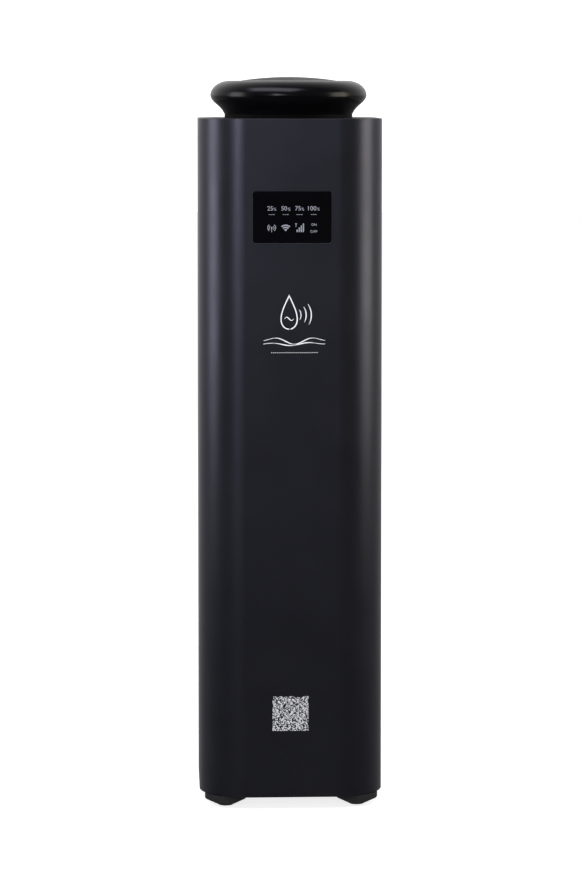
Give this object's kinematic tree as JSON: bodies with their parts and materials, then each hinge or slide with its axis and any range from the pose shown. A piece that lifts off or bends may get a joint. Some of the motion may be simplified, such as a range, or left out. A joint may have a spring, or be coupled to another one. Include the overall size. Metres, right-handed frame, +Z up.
{
  "type": "scent diffuser",
  "caption": "Floor-standing scent diffuser tower: rounded-square column on feet, touch display, lift-off flared cap, rear door over an oil bottle, air pump and fan.",
  "frame": {"origin": "middle of the footprint, on the floor under the feet", "axes": "+Z up along the column, -Y to the front with the display, +Y to the rear door, +X to the right seen from the front"},
  "size_m": [0.18, 0.1818, 0.7156],
  "materials": {
    "anodised_shell": "dark blue-black satin anodised, fine bead blast",
    "black_cap": "gloss black moulding, slightly soft sheen",
    "dome": "matte black moulding",
    "black_plastic": "fine-textured black moulding",
    "grey_plastic": "fine-textured dark grey moulding",
    "display": "polished black touch glass",
    "rubber": "soft black rubber",
    "foam": "open-cell filter foam",
    "steel": "zinc-plated sheet and screws",
    "brass": "turned brass",
    "copper": "enamelled copper winding",
    "circuit_board": "green solder mask",
    "silicone": "translucent silicone hose",
    "bottle": "translucent bottle plastic",
    "ribbon": "flat flexible ribbon",
    "wire": "insulated leads",
    "switch_red": "red rocker"
  },
  "bodies": {
    "housing": {"body_shell": "anodised_shell", "base_plate": "steel", "corner_screws": "steel", "foot_front_left": "rubber", "foot_front_right": "rubber", "foot_rear_left": "rubber", "foot_rear_right": "rubber", "foot_screws": "steel", "intake_filter": "foam", "chassis": "steel", "m3_screws": "steel", "bottle_tray": "grey_plastic", "head_bracket": "steel", "atomiser_head": "grey_plastic", "atomiser_jet": "brass", "dip_tube": "silicone", "bottle_seal": "rubber", "pump_mounts": "rubber", "pump_housing": "grey_plastic", "pump_cover": "grey_plastic", "pump_core": "steel", "pump_winding": "copper", "pump_valve_box": "grey_plastic", "air_hose": "silicone", "mist_tube": "silicone", "outlet_nozzle": "grey_plastic", "power_supply": "steel", "main_board": "circuit_board", "board_standoffs": "brass", "wireless_module": "steel", "display_glass": "display", "display_gasket": "rubber", "display_board": "circuit_board", "display_ribbon": "ribbon", "power_leads": "wire", "connector_panel": "black_plastic", "inlet_socket": "black_plastic", "inlet_pins": "brass", "rocker_bezel": "black_plastic", "top_plate": "black_plastic", "outlet_collar": "black_cap", "fan_frame": "black_plastic", "fan_motor": "steel", "fan_guard": "steel", "fan_screws": "steel", "door_hinge_fixed": "steel", "hinge_pins": "steel"},
    "cap": {"cap_ring": "black_cap", "cap_dome": "dome", "cap_spider": "black_plastic"},
    "fan": {"fan_impeller": "black_plastic"},
    "door": {"rear_door": "anodised_shell", "door_hinge_moving": "steel", "lock_body": "steel"},
    "lock": {"lock_cylinder": "steel"},
    "switch": {"rocker_switch": "switch_red"},
    "nut": {"swivel_nut": "black_plastic"},
    "bottle": {"oil_bottle": "bottle"},
    "armature": {"pump_armature": "steel"},
    "diaphragm": {"pump_diaphragm": "rubber"}
  },
  "joints": [
    {"name": "cap_lift", "type": "slide", "parent": "housing", "child": "cap", "axis": [0, 0, 1], "range_m": [0, 0.06]},
    {"name": "fan_spin", "type": "hinge", "parent": "housing", "child": "fan", "pos_m": [0, 0, 0.658], "axis": [0, 0, 1], "continuous": true},
    {"name": "door_swing", "type": "hinge", "parent": "housing", "child": "door", "pos_m": [-0.041, 0.0875, 0.26], "axis": [0, 0, 1], "range_deg": [0, 110]},
    {"name": "lock_turn", "type": "hinge", "parent": "door", "child": "lock", "pos_m": [0.028, 0.0875, 0.26], "axis": [0, 1, 0], "range_deg": [0, 90]},
    {"name": "switch_tip", "type": "hinge", "parent": "housing", "child": "switch", "pos_m": [0.022, 0.083, 0.058], "axis": [1, 0, 0], "range_deg": [0, 16]},
    {"name": "nut_turn", "type": "hinge", "parent": "housing", "child": "nut", "pos_m": [0, 0.03, 0.36], "axis": [0, 0, 1], "range_deg": [0, 720]},
    {"name": "bottle_drop", "type": "slide", "parent": "housing", "child": "bottle", "axis": [0, 0, -1], "range_m": [0, 0.008]},
    {"name": "armature_swing", "type": "hinge", "parent": "housing", "child": "armature", "pos_m": [-0.016, -0.033, 0.046], "axis": [0, 0, 1], "range_deg": [-1.5, 1.5], "stiffness_Nm_per_rad": 2},
    {"name": "diaphragm_push", "type": "slide", "parent": "housing", "child": "diaphragm", "axis": [1, 0, 0], "range_m": [-0.0005, 0.0005]}
  ],
  "couplings": [
    {"joint": "bottle_drop", "follows": "nut_turn", "m_per_rad": 0.0006366},
    {"joint": "diaphragm_push", "follows": "armature_swing", "m_per_rad": 0.019}
  ]
}
